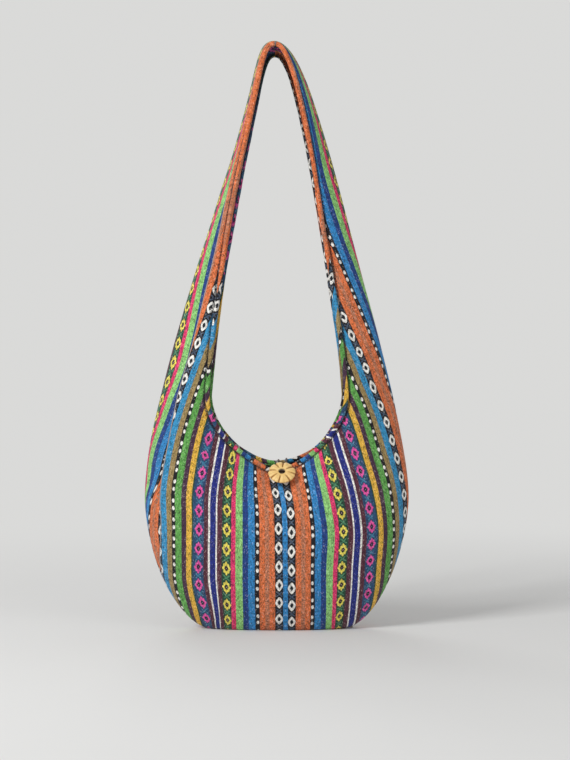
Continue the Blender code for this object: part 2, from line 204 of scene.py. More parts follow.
# The back panel: cloth at its middle, how far its motifs lie down, and its spread beside the left seam
BACK_CENTRE = 0.229
BACK_LIFT = 0.0073
SPREAD = 0.0100
SPREAD_BELOW = 0.215
SPREAD_FADE = 0.035
SPREAD_ABOVE = 0.115
SPREAD_RISE = 0.050
FLANK_REACH = 0.140

# The rims: cloth at the middle of the back one, how far the front one's stripes are pulled outward,
# and how both come back to the panels' stripes up the strap
BACK_RIM_CENTRE = 0.150
BACK_RIM_MIDDLE = 0.55
BACK_RIM_MIDDLE_FADE = 0.4
FRONT_RIM_SHIFT = 0.0068
RIM_SHIFT_BELOW = 0.27
RIM_SHIFT_FADE = {FRONT: 0.08, BACK: 0.05}

# The least that the cloth climbs for each step along a slanting line, as a share of the step
LEAST_CLIMB = 0.3
LEAST_RIM_CLIMB = 0.2

# The distance from the rim that cords and rims are given, so that they get no stitching and no painted
# crease shade
FAR_FROM_RIM = 1.0

# How far apart the points of each line lie
RIM_SEARCH_STEP = 0.0012
RIM_STEP = 0.0017
SEAM_STEP = 0.0016
THREAD_STEP = 0.0003
LOOP_STEP = 0.0004

HALF_CLOTH = CLOTH / 2
APEX_HEIGHT = HEIGHT - HALF_CLOTH
BUTTON_STAND_OFF = EDGE_RADIUS + 2 * LOOP_RADIUS + 3 * CLEARANCE + BUTTON_TILT_ROOM

FLANK = (
    (BODY_HALF_WIDTH, WIDEST_HEIGHT),
    (BODY_HALF_WIDTH, WIDEST_HEIGHT + HIP_EASE),
    (ARCH_HALF_WIDTH - FLANK_SLOPE * STRAP_EASE, ARCH_HEIGHT - STRAP_EASE),
    (ARCH_HALF_WIDTH, ARCH_HEIGHT),
)
ARCH = (
    (ARCH_HALF_WIDTH, ARCH_HEIGHT),
    (ARCH_HALF_WIDTH + FLANK_SLOPE * ARCH_EASE, ARCH_HEIGHT + ARCH_EASE),
    (APEX_EASE, APEX_HEIGHT),
    (0.0, APEX_HEIGHT),
)


def smooth(t):
    t = np.clip(t, 0, 1)
    return t * t * (3 - 2 * t)


def along(table, z):
    """A table's value at this height, with its corners rounded off."""
    heights, values = zip(*table)
    return float(np.interp(z + ROUNDED * np.linspace(-1, 1, 13), heights, values).mean())


def bezier(ends, t):
    a, b, c, d = (np.array(point) for point in ends)
    return (1 - t) ** 3 * a + 3 * (1 - t) ** 2 * t * b + 3 * (1 - t) * t**2 * c + t**3 * d


FLANK_LINE = np.array([bezier(FLANK, t) for t in np.linspace(0, 1, 400)])


def flank_x(z):
    return np.interp(z, FLANK_LINE[:, 1], FLANK_LINE[:, 0])


def strap_left(z):
    """1 at the throat, falling to 0 at the apex."""
    return np.clip((APEX_HEIGHT - z) / (APEX_HEIGHT - THROAT_HEIGHT), 0, 1)


def arm_curl(z, side):
    """How far the arm's edge lies inward of its side line."""
    left = strap_left(z)
    throat_curl = flank_x(THROAT_HEIGHT) - THROAT_HALF_WIDTH
    curl = APEX_CURL + (throat_curl - APEX_CURL) * left**CURL_FALL
    return curl * (1 + side * CURL_SKEW * sin(pi * left**CURL_SKEW_RISE) ** 2)


def arm_out(z, side):
    """How far the arm's edge lies out in Y, where a quarter oval is as long as the arm's cloth."""
    cloth = APEX_CLOTH + (THROAT_CLOTH - APEX_CLOTH) * strap_left(z) ** CLOTH_FALL
    return sqrt(max(2 * (2 * cloth / pi) ** 2 - arm_curl(z, side) ** 2, (cloth / 3) ** 2))


def body_depth(z):
    """Semi-axis of the body's section in Y, before the mouth is drawn together."""
    if z < BELLY_HEIGHT:
        below = (BELLY_HEIGHT - z) / (BELLY_HEIGHT - HALF_CLOTH)
        fullness = (1 - min(below, 1) ** BASE_ROUNDNESS) ** (1 / BASE_ROUNDNESS)
        return BASE_HALF_DEPTH + (BELLY_HALF_DEPTH - BASE_HALF_DEPTH) * fullness
    throat_depth = arm_out(THROAT_HEIGHT, 0) / sin(THROAT_EDGE_ANGLE)
    share = smooth((z - BELLY_HEIGHT) / (THROAT_HEIGHT - BELLY_HEIGHT))
    return BELLY_HALF_DEPTH + (throat_depth - BELLY_HALF_DEPTH) * share


def drawing(z):
    """How strongly the button draws the front and back together at this height, 1 at the most."""
    peak = MOUTH_HEIGHT + DRAWN_ABOVE
    if z < peak:
        rise = max(0, (z - BELLY_HEIGHT) / (peak - BELLY_HEIGHT))
        return sin(pi / 2 * rise**DRAWN_SLOWNESS) ** 2
    return 1 - smooth((z - peak) / (THROAT_HEIGHT - peak))


def drawn(z):
    """Share of the depth that is lost at the middle of the bag."""
    at_mouth = 1 - MOUTH_HALF_GAP / body_depth(MOUTH_HEIGHT)
    return at_mouth * drawing(z) / drawing(MOUTH_HEIGHT)


def hang(points):
    """The small sideways sway of the strap, and the dip of the front edge under the button."""
    x, y, z = points.T.copy()
    q = np.maximum(0.0, (z - THROAT_HEIGHT) / (HEIGHT - THROAT_HEIGHT))
    most = STRAP_SWAY_PEAK**3 * (1 - STRAP_SWAY_PEAK)
    x = x + STRAP_SWAY * q**3 * (1 - q) / most + APEX_SHIFT * q**6
    near = smooth((z - MOUTH_HEIGHT + MOUTH_DIP_REACH) / MOUTH_DIP_REACH)
    front = (y < 0) & (z < THROAT_HEIGHT)
    dip = np.where(front, MOUTH_DIP * near * np.exp(-((x / MOUTH_DIP_WIDTH) ** 2)), 0)
    return np.stack([x, y - dip * sin(MOUTH_DIP_LEAN), z - dip * cos(MOUTH_DIP_LEAN)], 1)


class Section:
    """One section of the cloth's middle surface on one side of the bag: part of an oval whose
    angle is 0 on the side line and ends at the edge, or at pi/2 in the middle of the bag."""

    def __init__(self, x, z, length, depth, edge=pi / 2, tilt=0.0, drawn=0.0):
        self.x, self.z = x, z
        self.length, self.depth = length, depth
        self.edge, self.tilt, self.drawn = edge, tilt, drawn
        self.angles = np.linspace(0, edge, 160)
        inward, out = self.profile(self.angles)
        steps = np.hypot(np.diff(inward), np.diff(out))
        self.lengths = np.concatenate([[0], np.cumsum(steps)])

    def profile(self, angle):
        """(inward, out): how far a point lies from the side line, across the bag and in depth."""
        share = 1 - np.cos(angle)
        pull = np.sin(pi / 2 * share**2) ** 2
        return self.length * share, self.depth * np.sin(angle) * (1 - self.drawn * pull)

    def angle_of(self, length):
        return np.sign(length) * np.interp(abs(length), self.lengths, self.angles)

    def length_of(self, angle):
        return np.sign(angle) * np.interp(abs(angle), self.angles, self.lengths)

    def points(self, side, angles, least=0.0):
        inward, out = self.profile(abs(angles))
        out = np.maximum(out, least)
        across = self.x - inward * cos(self.tilt)
        up = self.z - inward * sin(self.tilt)
        return hang(np.stack([side * across, np.where(angles > 0, out, -out), up], 1))


def seam_shift(z):
    """How far the side seam lies from the side line, along the cloth."""
    rise = smooth((z - SEAM_SHIFT_START) / (SEAM_SHIFT_FULL - SEAM_SHIFT_START))
    fall = smooth((z - SEAM_NARROWS_FROM) / (SEAM_NARROWS_TO - SEAM_NARROWS_FROM))
    return float(BODY_SEAM_SHIFT * rise - (BODY_SEAM_SHIFT - STRAP_SEAM_SHIFT) * fall)


def body_section(z, x):
    return Section(x, z, x, body_depth(z), drawn=drawn(z))


def body_sections(inset):
    """Sections from the bottom seam up to just below the mouth."""
    found = []
    for row in range(BASE_ROWS):
        share = row / BASE_ROWS
        length = BASE_HALF_LENGTH * (1 - CORNER_SHORTFALL * (1 - share))
        found.append(Section(length, HALF_CLOTH, length, BASE_HALF_DEPTH * share + 1e-6))
    for row in range(WALL_ROWS + 1):
        angle = pi / 2 * row / WALL_ROWS
        out, up = sin(angle) ** FLANK_ROUNDNESS, 1 - cos(angle) ** FLANK_ROUNDNESS
        x = BASE_HALF_LENGTH + (BODY_HALF_WIDTH - BASE_HALF_LENGTH) * out
        z = HALF_CLOTH + (WIDEST_HEIGHT - HALF_CLOTH) * up
        found.append(body_section(z, x))
    for row in range(1, SHOULDER_ROWS):
        z = WIDEST_HEIGHT + (MOUTH_HEIGHT - inset - WIDEST_HEIGHT) * row / SHOULDER_ROWS
        found.append(body_section(z, flank_x(z)))
    return found


def mouth_sections(inset):
    """Sections beside the mouth, the first at its lowest point."""
    arm_length = (flank_x(THROAT_HEIGHT) - THROAT_HALF_WIDTH) / (1 - cos(THROAT_EDGE_ANGLE))
    found = []
    for row in range(MOUTH_ROWS):
        angle = pi / 2 * row / MOUTH_ROWS
        tip = (THROAT_HALF_WIDTH + inset) * sin(angle) ** MOUTH_SQUARENESS
        below = (THROAT_HEIGHT - MOUTH_HEIGHT + inset) * cos(angle) ** MOUTH_SQUARENESS
        z = THROAT_HEIGHT - below
        x = flank_x(z)
        share = smooth((z - MOUTH_HEIGHT) / (THROAT_HEIGHT - MOUTH_HEIGHT))
        length = x + (arm_length - x) * share
        edge = np.arccos(1 - (x - tip) / length)
        found.append(Section(x, z, length, body_depth(z), edge, drawn=drawn(z)))
    return found


def arm_section(x, z, side, tilt, inset):
    """The inset is taken off across the bag at the throat and along the cloth at the apex."""
    left = strap_left(z)
    full_edge = APEX_EDGE_ANGLE + (THROAT_EDGE_ANGLE - APEX_EDGE_ANGLE) * left
    length = arm_curl(z, side) / (1 - cos(full_edge))
    edge = np.arccos(cos(full_edge) + inset * left / length)
    section = Section(x, z, length, arm_out(z, side) / sin(full_edge), edge, tilt)
    section.edge = section.angle_of(section.lengths[-1] - inset * (1 - left))
    return section


def arm_sections(side, inset):
    found = []
    for row in range(ARM_ROWS):
        z = THROAT_HEIGHT + (ARCH_HEIGHT - THROAT_HEIGHT) * row / ARM_ROWS
        tilt = -np.arctan(FLANK_SLOPE) * smooth(row / ARM_ROWS)
        found.append(arm_section(flank_x(z), z, side, tilt, inset))
    for row in range(ARCH_ROWS + 1):
        t = sin(pi / 2 * row / ARCH_ROWS)
        x, z = bezier(ARCH, t)
        ahead, behind = bezier(ARCH, min(t + 0.01, 1)), bezier(ARCH, max(t - 0.01, 0))
        tilt = pi / 2 - np.arctan2(ahead[1] - behind[1], behind[0] - ahead[0])
        tilt = pi / 2 if row == ARCH_ROWS else tilt
        found.append(arm_section(max(x, 0.0001), z, side, tilt, inset))
    return found


def tucked_sections(side):
    """All sections of one side, a little short of the rims so that the cloth ends inside them."""
    return body_sections(TUCK) + mouth_sections(TUCK) + arm_sections(side, TUCK)


FULL_REACH = body_section(MOUTH_HEIGHT - TUCK, flank_x(MOUTH_HEIGHT - TUCK)).lengths[-1]


def noise_at(point, rate, start):
    return noise.noise_vector(Vector([a * b for a, b in zip(point, rate)]) + Vector(start))


def soften(points):
    """Moves the cloth a little off the guide surface: wide sags, and folds that run up and down."""
    moved = []
    for x, y, z in points:
        sag = noise_at((x, y, z), SAG_RATE, SAG_START)
        fold = noise_at((x, y, z), FOLD_RATE, FOLD_START)
        rest = float(smooth((z - STILL_BELOW) / FREE_OVER))
        move = (sag * SAG + fold * FOLD) * rest
        moved.append((x + move.x, y + move.y, z + move.z * rest))
    return np.array(moved)


def reach_of(section):
    """Length of the whole half section, from the middle of the bag to the side line."""
    full = section.edge > pi / 2 - 1e-6 and section.z < MOUTH_HEIGHT + TUCK
    return section.lengths[-1] if full else FULL_REACH


def place_on_cloth(side, face, section, lengths):
    """How far across the woven cloth points lie, from their signed lengths past the side line.
    Lengths grow towards the back."""
    reach = reach_of(section)
    if face == FRONT:
        from_middle = reach + lengths
        centre = -side * along(CENTRE_SHIFT, section.z)
        extra = along(LEFT_EXTRA if side == LEFT else RIGHT_EXTRA, section.z)
        across = from_middle + centre + (extra - centre) * smooth(from_middle / FAN_OUT)
        low = smooth((GATHERED_BELOW - section.z) / GATHERED_BELOW)
        across += GATHERING[side] * low * smooth((from_middle - GATHERED_FROM) / GATHERED_OVER)
        if side == RIGHT:
            to_rim = np.minimum(lengths, 0) / section.lengths[-1]
            across -= SQUEEZE * smooth((section.z - SQUEEZED_ABOVE) / SQUEEZED_OVER) * to_rim**2
        return side * across
    from_middle = reach - lengths
    fade = np.clip(1 - lengths / FULL_REACH, 0, 1)
    extra = along(BACK_EXTRA, section.z) * fade
    if side == LEFT:
        flank = smooth((lengths + BODY_SEAM_SHIFT) / BODY_SEAM_SHIFT)
        spread = SPREAD * flank * smooth((SPREAD_BELOW - section.z) / SPREAD_FADE)
        spread *= smooth((section.z - SPREAD_ABOVE) / SPREAD_RISE)
        near = 1 - smooth(lengths / FLANK_REACH)
        extra = extra + near * (spread + along(LEFT_FLANK_EXTRA, section.z))
    return BACK_CENTRE + side * (from_middle - extra)


def panel_grid(side, face, wide):
    """(points, places across the cloth) of one side of a panel, from its middle or edge to its seam."""
    points, places = [], []
    for number, section in enumerate(tucked_sections(side)):
        shift = seam_shift(section.z) * (1 if wide else -1)
        end = -face * section.angle_of(shift - SEAM_TUCK)
        columns = WIDE_COLUMNS if wide else NARROW_COLUMNS
        angles = np.linspace(face * section.edge, end, columns + 1)
        least = SEAM_TUCK if number < BASE_ROWS else 0
        points.append(section.points(side, angles, least))
        places.append(place_on_cloth(side, face, section, section.length_of(angles)))
    return np.array(points), np.array(places), BODY_ROWS


def heights_on_cloth(points, places, split):
    """How far up the woven cloth each point lies. On the body it is counted up each column, and on
    the arm up its middle column and from there square to the stripes."""
    steps = np.linalg.norm(np.diff(points, axis=0), axis=2)
    slant = np.diff(places, axis=0)
    rises = np.sqrt(np.maximum(steps**2 - slant**2, (LEAST_CLIMB * steps) ** 2))
    body = np.concatenate([np.zeros((1, points.shape[1])), np.cumsum(rises, axis=0)])
    up, out = np.gradient(points, axis=0), np.gradient(points, axis=1)
    normal = np.cross(out, up)
    slope = np.gradient(places, axis=1)[..., None] * np.cross(up, normal)
    slope += np.gradient(places, axis=0)[..., None] * np.cross(normal, out)
    warp = np.cross(normal, slope)
    warp /= np.maximum(np.linalg.norm(warp, axis=2), 1e-18)[..., None]
    warp *= np.where((warp * up).sum(2) < 0, -1, 1)[..., None]
    drift = (warp * out).sum(2)
    drifts = np.zeros(places.shape)
    drifts[:, 1:] = np.cumsum((drift[:, 1:] + drift[:, :-1]) / 2, axis=1)
    spine = places.shape[1] // 2
    arm = body[:, spine : spine + 1] + drifts - drifts[:, spine : spine + 1]
    rows = np.arange(len(places))[:, None]
    return body + (arm - body) * smooth((rows - split) / MOUTH_ROWS)


def add_object(name, data):
    obj = bpy.data.objects.new(name, data)
    bpy.context.scene.collection.objects.link(obj)
    return obj


def add_mesh(name, points, faces, mat, maps):
    """A smooth mesh whose maps hold two numbers a point each."""
    mesh = bpy.data.meshes.new(name)
    mesh.from_pydata([tuple(p) for p in points], [], faces)
    corners = np.empty(len(mesh.loops), np.int32)
    mesh.loops.foreach_get("vertex_index", corners)
    for map_name, values in maps.items():
        layer = mesh.uv_layers.new(name=map_name)
        layer.data.foreach_set("uv", np.asarray(values, np.float32)[corners].ravel())
    mesh.shade_smooth()
    mesh.update()
    mesh.materials.append(mat)
    return add_object(name, mesh)


def lengths_along(points):
    """How far along a line each of its points lies."""
    steps = np.linalg.norm(np.diff(points, axis=0), axis=1)
    return np.concatenate([[0], np.cumsum(steps)])


def from_rim(points, face):
    """Each point's distance from the rim's line, and how far along the rim that is."""
    rim = kdtree.KDTree(len(RIM_LINES[face]))
    for number, spot in enumerate(RIM_LINES[face]):
        rim.insert(spot, number)
    rim.balance()
    rim_lengths = lengths_along(RIM_LINES[face])
    nearest = [rim.find(p) for p in points]
    return np.array([(distance, rim_lengths[number]) for _, number, distance in nearest])


def crease(obj, edge, face):
    """Sinks the cloth into a crease beside the rolled edge."""
    spots, normals = np.empty(3 * len(edge)), np.empty(3 * len(edge), np.float32)
    obj.data.vertices.foreach_get("co", spots)
    obj.data.vertices.foreach_get("normal", normals)
    spots, normals = spots.reshape(-1, 3), normals.reshape(-1, 3)
    outward = np.sign(normals[:, 1].sum() * face)
    depth = CREASE * smooth((CREASE_REACH - edge[:, 0]) / CREASE_REACH)
    spots -= outward * normals * depth[:, None]
    obj.data.vertices.foreach_set("co", spots.ravel())


def panel(name, face, mat):
    """The front or back of the bag with its two half arms, as one shell of cloth."""
    wide_side = RIGHT if face == FRONT else LEFT
    points, maps, faces, shared = [], [], [], None
    for side in (wide_side, -wide_side):
        grid, places, split = panel_grid(side, face, side == wide_side)
        ups = heights_on_cloth(grid, places, split) + (BACK_LIFT if face == BACK else 0)
        rows, columns = places.shape
        index = np.arange(rows * columns).reshape(rows, columns) + len(points)
        points += list(grid.reshape(-1, 3))
        maps += list(np.stack([places, ups], 2).reshape(-1, 2))
        if shared is None:
            shared = index[: split + 1, 0].copy()
        else:
            index[: split + 1, 0] = shared
        quads = np.stack([index[:-1, :-1], index[:-1, 1:], index[1:, 1:], index[1:, :-1]], 2)
        quads = quads.reshape(-1, 4)
        faces.append(quads if side * face == FRONT * RIGHT else quads[:, ::-1])
    faces = np.concatenate(faces)
    used, renumbered = np.unique(faces, return_inverse=True)
    points, maps = np.array(points)[used], np.array(maps)[used]
    faces = renumbered.reshape(-1, 4)
    edge = from_rim(points, face)
    obj = add_mesh(name, soften(points), faces.tolist(), mat, {"cloth": maps, "edge": edge})
    crease(obj, edge, face)
    thickness = obj.modifiers.new("cloth thickness", "SOLIDIFY")
    thickness.thickness = SHOWN_CLOTH
    thickness.offset = 0
    return obj


def resampled(points, step, closed=False):
    """The same line with points this far apart, and the old points' numbers at each."""
    points = np.array([tuple(p) for p in points], float)
    if closed:
        points = np.concatenate([points, points[:1]])
    length = lengths_along(points)
    count = max(8, int(length[-1] / step))
    at = np.linspace(0, length[-1], count + 1)
    numbers = np.interp(at, length, np.arange(len(points)))
    before = np.clip(numbers.astype(int), 0, len(points) - 2)
    share = (numbers - before)[:, None]
    ahead = np.clip(before + 2, 0, len(points) - 1)
    behind = np.clip(before - 1, 0, len(points) - 1)
    p0, p1, p2, p3 = points[behind], points[before], points[before + 1], points[ahead]
    bend = share * (2 * p0 - 5 * p1 + 4 * p2 - p3 + share * (3 * (p1 - p2) + p3 - p0))
    curve = p1 + 0.5 * share * (p2 - p0 + bend)
    return (curve[:-1], numbers[:-1], at[:-1]) if closed else (curve, numbers, at)


def ring_quads(index):
    """Faces between the rings of points whose numbers are the rows of this table."""
    ahead = np.roll(index, -1, 1)
    return np.stack([index[:-1], ahead[:-1], ahead[1:], index[1:]], 2).reshape(-1, 4)


def twist(at, pitch, share):
    """How the strands of a twisted cord swell along it."""
    return 1 + share * np.sin(2 * pi * at / pitch)


def tube(name, points, radii, mat, closed, sides=14, cloth=None):
    """A round of changing radius along a line, with caps where it is open."""
    points = np.asarray(points, float)
    count = len(points)
    ahead = np.roll(points, -1, 0) - np.roll(points, 1, 0)
    if not closed:
        ahead[0], ahead[-1] = points[1] - points[0], points[-1] - points[-2]
    tangents = ahead / np.linalg.norm(ahead, axis=1)[:, None]
    side = Vector(tangents[0]).orthogonal().normalized()
    rings, sides_at = [], []
    for tangent in tangents:
        tangent = Vector(tangent)
        side = (side - tangent * side.dot(tangent)).normalized()
        sides_at.append(side.copy())
    turn = 0.0
    if closed:
        first, last, axis = sides_at[0], sides_at[-1], Vector(tangents[0])
        turn = np.arctan2(last.cross(first).dot(axis), last.dot(first))
    around = np.linspace(0, 2 * pi, sides, endpoint=False)
    for number, (point, tangent, side) in enumerate(zip(points, tangents, sides_at)):
        side = Matrix.Rotation(turn * number / count, 3, Vector(tangent)) @ side
        up = np.array(Vector(tangent).cross(side))
        ring = np.outer(np.cos(around), np.array(side)) + np.outer(np.sin(around), up)
        rings.append(point + ring * radii[number])
    spots = np.concatenate(rings)
    index = np.arange(count * sides).reshape(count, sides)
    if closed:
        index = np.concatenate([index, index[:1]])
    faces = ring_quads(index).tolist()
    if not closed:
        faces += [index[0][::-1].tolist(), index[-1].tolist()]
    if cloth is None:
        cloth = np.stack([np.zeros(count), lengths_along(points)], 1)
    slopes = np.gradient(cloth, axis=0)
    slopes /= np.maximum(np.linalg.norm(slopes, axis=1), 1e-9)[:, None]
    normals = np.stack([-slopes[:, 1], slopes[:, 0]], 1)
    rolled = np.mean(radii) * (np.minimum(around, 2 * pi - around))
    maps = cloth[:, None, :] + rolled[None, :, None] * normals[:, None, :]
    edge = np.full((count * sides, 2), FAR_FROM_RIM)
    return add_mesh(name, spots, faces, mat, {"cloth": maps.reshape(-1, 2), "edge": edge})


def edge_line(side, face):
    """(points, places across the cloth) along the rolled edge, from the mouth's low point to the apex."""
    points, places = [], []
    for section in mouth_sections(0) + arm_sections(side, 0):
        angle = np.array([face * section.edge])
        points.append(section.points(side, angle)[0])
        place = place_on_cloth(side, face, section, section.length_of(angle))[0]
        low = 1 - smooth((section.z - RIM_SHIFT_BELOW) / RIM_SHIFT_FADE[face])
        if face == BACK:
            out = abs(points[-1][0]) / THROAT_HALF_WIDTH
            middle = low * (1 - smooth((out - BACK_RIM_MIDDLE) / BACK_RIM_MIDDLE_FADE))
            place += (BACK_RIM_CENTRE - BACK_CENTRE) * float(middle)
        else:
            place += FRONT_RIM_SHIFT * float(low)
        places.append(place)
    return np.array(points), np.array(places)


def rim_loop(face):
    """The rolled edge's middle line in one closed round, and its places across the cloth."""
    (right, right_places), (left, left_places) = edge_line(RIGHT, face), edge_line(LEFT, face)
    apex = (right[-1] + left[-1]) / 2
    points = np.concatenate([right[:-1], [apex], left[-2:0:-1]])
    places = np.concatenate([right_places, left_places[-2:0:-1]])
    return points, places


RIM_LOOPS = {face: rim_loop(face) for face in (FRONT, BACK)}
RIM_LINES = {face: resampled(RIM_LOOPS[face][0], RIM_SEARCH_STEP, True)[0] for face in (FRONT, BACK)}


def rolled_edge(name, face, mat):
    points, places = RIM_LOOPS[face]
    line, numbers, at = resampled(points, RIM_STEP, closed=True)
    across = np.interp(numbers, np.arange(len(points) + 1), np.append(places, places[0]))
    steps = np.append(np.diff(at), at[1])
    climbs = np.sqrt(np.maximum(steps**2 - np.gradient(across) ** 2, (LEAST_RIM_CLIMB * steps) ** 2))
    rises = np.cumsum(climbs)
    uneven = np.array([noise.noise(Vector((60 * x, 60 * y, 60 * z))) for x, y, z in line])
    fine = np.array([noise.noise(Vector((210 * x, 210 * y, 210 * z))) for x, y, z in line])
    radii = EDGE_RADIUS * (0.98 + 0.09 * uneven + 0.05 * fine)
    cloth = np.stack([across, rises], 1)
    return tube(name, soften(line), radii, mat, True, sides=18, cloth=cloth)


def seam_line(side):
    face = FRONT if side == LEFT else BACK
    spots = []
    for section in tucked_sections(side)[1:]:
        angle = np.array([face * section.angle_of(seam_shift(section.z))])
        spots.append(section.points(side, angle)[0])
    return spots


def seam_cord(name, mat):
    line, _, at = resampled(seam_line(LEFT)[::-1] + seam_line(RIGHT), SEAM_STEP)
    radii = SEAM_CORD_RADIUS * twist(at, 0.0035, 0.06)
    return tube(name, soften(line), radii, mat, False, sides=8)


def edge_at(x, face):
    """The middle of the rolled edge this far across, near the middle of the mouth."""
    left, right = edge_line(LEFT, face)[0], edge_line(RIGHT, face)[0]
    line = np.concatenate([left[MOUTH_ROWS:0:-1], right[:MOUTH_ROWS]])
    spot = [np.interp(x, line[:, 0], line[:, axis]) for axis in range(3)]
    return Vector(soften([spot])[0])


def front_point(x, z):
    """The middle of the front panel's cloth this far across, at a height below the mouth."""
    section = body_section(z, flank_x(z))
    angle = np.array([FRONT * np.arccos(1 - (section.x - abs(x)) / section.length)])
    spot = section.points(LEFT if x < 0 else RIGHT, angle)
    return Vector(soften(spot)[0])


def button_frame():
    """Middle of the button's back and its axes: across, up the panel, and out of the panel."""
    foot = front_point(BUTTON_ACROSS, MOUTH_HEIGHT - BUTTON_DROP)
    above = front_point(BUTTON_ACROSS, MOUTH_HEIGHT - BUTTON_DROP + DISH_RADIUS)
    across = Vector((1, 0, 0))
    out = across.cross(above - foot).normalized()
    middle = foot + out * BUTTON_STAND_OFF
    out = out * cos(BUTTON_LEAN) + out.cross(across) * sin(BUTTON_LEAN)
    return middle, across, out.cross(across), out


def carving(r, angle):
    """Height above the button's back, and how far the point lies in a cut and in the dish, 0 to 1."""
    share = r / BUTTON_RADIUS
    height = BUTTON_THICKNESS - BUTTON_DOME * share**3
    wobble = 0.05 * sin(3 * angle + 0.6) + 0.03 * sin(7 * angle)
    petal = abs(sin(PETALS * (angle + PETAL_TURN + wobble) / 2))
    start = smooth((r - DISH_RADIUS) / (0.22 * BUTTON_RADIUS))
    groove = np.exp(-((petal / (GROOVE_WIDTH * (1 + share))) ** 2)) * start
    vein = np.exp(-(((1 - petal) / 0.02) ** 2)) * smooth((share - 0.45) / 0.2) * 0.35
    crown = sin(pi * min(1, max(0, (share - 0.3) / 0.7))) * petal
    height += CROWN * crown * start - GROOVE * groove - VEIN * vein
    height += ROUGHNESS * noise.noise(Vector((900 * r * cos(angle), 900 * r * sin(angle), 2.0)))
    dish = smooth((DISH_RADIUS - r) / (0.35 * DISH_RADIUS))
    return height - DISH_DEPTH * dish, max(groove, 0.5 * vein), dish


def carved_button(name, mat):
    """A turned wooden button with petals cut into its face, a dish and two thread holes, with painted
    shade in the cuts, the dish and the holes.
    """
    turns = [2 * pi * k / (PETALS * COLUMNS_A_PETAL) for k in range(PETALS * COLUMNS_A_PETAL)]
    face_radius = FACE_SHARE * BUTTON_RADIUS
    radii = [*np.linspace(0.0004, DISH_RADIUS, 16), *np.linspace(DISH_RADIUS, face_radius, 30)[1:]]
    holes = [Vector((side * HOLE_SPACING / 2, 0)) for side in (LEFT, RIGHT)]
    spots, marks = [], []
    for r in radii:
        for angle in turns:
            height, cut, dish = carving(r, angle)
            place = Vector((r * cos(angle), r * sin(angle)))
            to_hole = min((place - hole).length for hole in holes)
            sunk = smooth((HOLE_RADIUS * 1.25 - to_hole) / (0.5 * HOLE_RADIUS))
            spots.append((place.x, place.y, height - HOLE_DEPTH * sunk))
            # The map marks where shade is painted: the cuts, and darkest the dish and the thread holes
            marks.append((cut, max(0.85 * dish, sunk)))
    for share, drop in BUTTON_EDGE:
        for angle in turns:
            height, cut, _ = carving(face_radius, angle)
            reach = BUTTON_RADIUS * share * (1 - GROOVE_BITE * cut)
            spots.append((reach * cos(angle), reach * sin(angle), max(0.0, height + drop)))
            marks.append((0.8 * cut, 0.0))
    for share in BUTTON_BACK:
        reach = share * BUTTON_RADIUS
        spots += [(reach * cos(angle), reach * sin(angle), 0.0) for angle in turns]
        marks += [(0.0, 0.0)] * len(turns)
    index = np.arange(len(spots)).reshape(-1, len(turns))
    faces = ring_quads(index)[:, ::-1].tolist()
    faces += [index[0].tolist(), index[-1][::-1].tolist()]
    obj = add_mesh(name, spots, faces, mat, {"carving": marks})
    origin, across, up, out = button_frame()
    obj.matrix_world = Matrix.Translation(origin) @ Matrix((across, up, out)).transposed().to_4x4()
    return obj


def button_thread(name, mat):
    """A thread up one hole, across the dish and down the other, sewn into the front panel."""
    origin, across, up, out = button_frame()
    half = HOLE_SPACING / 2
    top = BUTTON_THICKNESS - DISH_DEPTH + 0.0004
    low = -BUTTON_STAND_OFF + 0.3 * CLOTH
    path = [(-half, low), (-half, 0.0), (-half, top - 0.0011), (-0.62 * half, top), (0.0, top + 0.0003)]
    path += [(-place, height) for place, height in path[-2::-1]]
    points = [origin + across * place + out * height for place, height in path]
    line, _, at = resampled(points, THREAD_STEP)
    return tube(name, line, THREAD_RADIUS * twist(at, 0.0011, 0.10), mat, False, sides=10)


def closing_loop(name, mat):
    """A cord loop sewn to the back edge, over the front edge and round the thread behind the button."""
    origin, across, up, out = button_frame()
    behind = origin - out * (LOOP_RADIUS + CLEARANCE)
    over = EDGE_RADIUS + LOOP_RADIUS + 2 * CLEARANCE
    bend = [behind - (across * cos(t) + up * sin(t)) * LOOP_LEG for t in np.linspace(0, pi, 7)]
    legs = []
    for x in (BUTTON_ACROSS - LOOP_LEG, BUTTON_ACROSS + LOOP_LEG):
        front, back = edge_at(x, FRONT), edge_at(x, BACK)
        sewn = back + Vector((0, -0.6, 0.8)) * over
        wrap = [front + (out * cos(t) + up * sin(t)) * over for t in np.radians((100, 70, 40, 10))]
        legs.append([sewn, (wrap[0] + sewn) / 2 + Vector((0, 0, 0.3 * over)), *wrap])
    line, _, at = resampled(legs[0] + bend + legs[1][::-1], LOOP_STEP)
    return tube(name, line, LOOP_RADIUS * twist(at, 0.0018, 0.10), mat, False, sides=12)


def set_inputs(tree, node, inputs):
    """Sets each input to a number or colour, or joins it to what another node gives."""
    for name, value in inputs.items():
        source = value.socket if isinstance(value, Value) else value
        if isinstance(source, bpy.types.NodeSocket):
            tree.links.new(source, node.inputs[name])
        else:
            node.inputs[name].default_value = source


def new_node(tree, kind, inputs):
    node = tree.nodes.new("ShaderNode" + kind)
    set_inputs(tree, node, inputs)
    return node


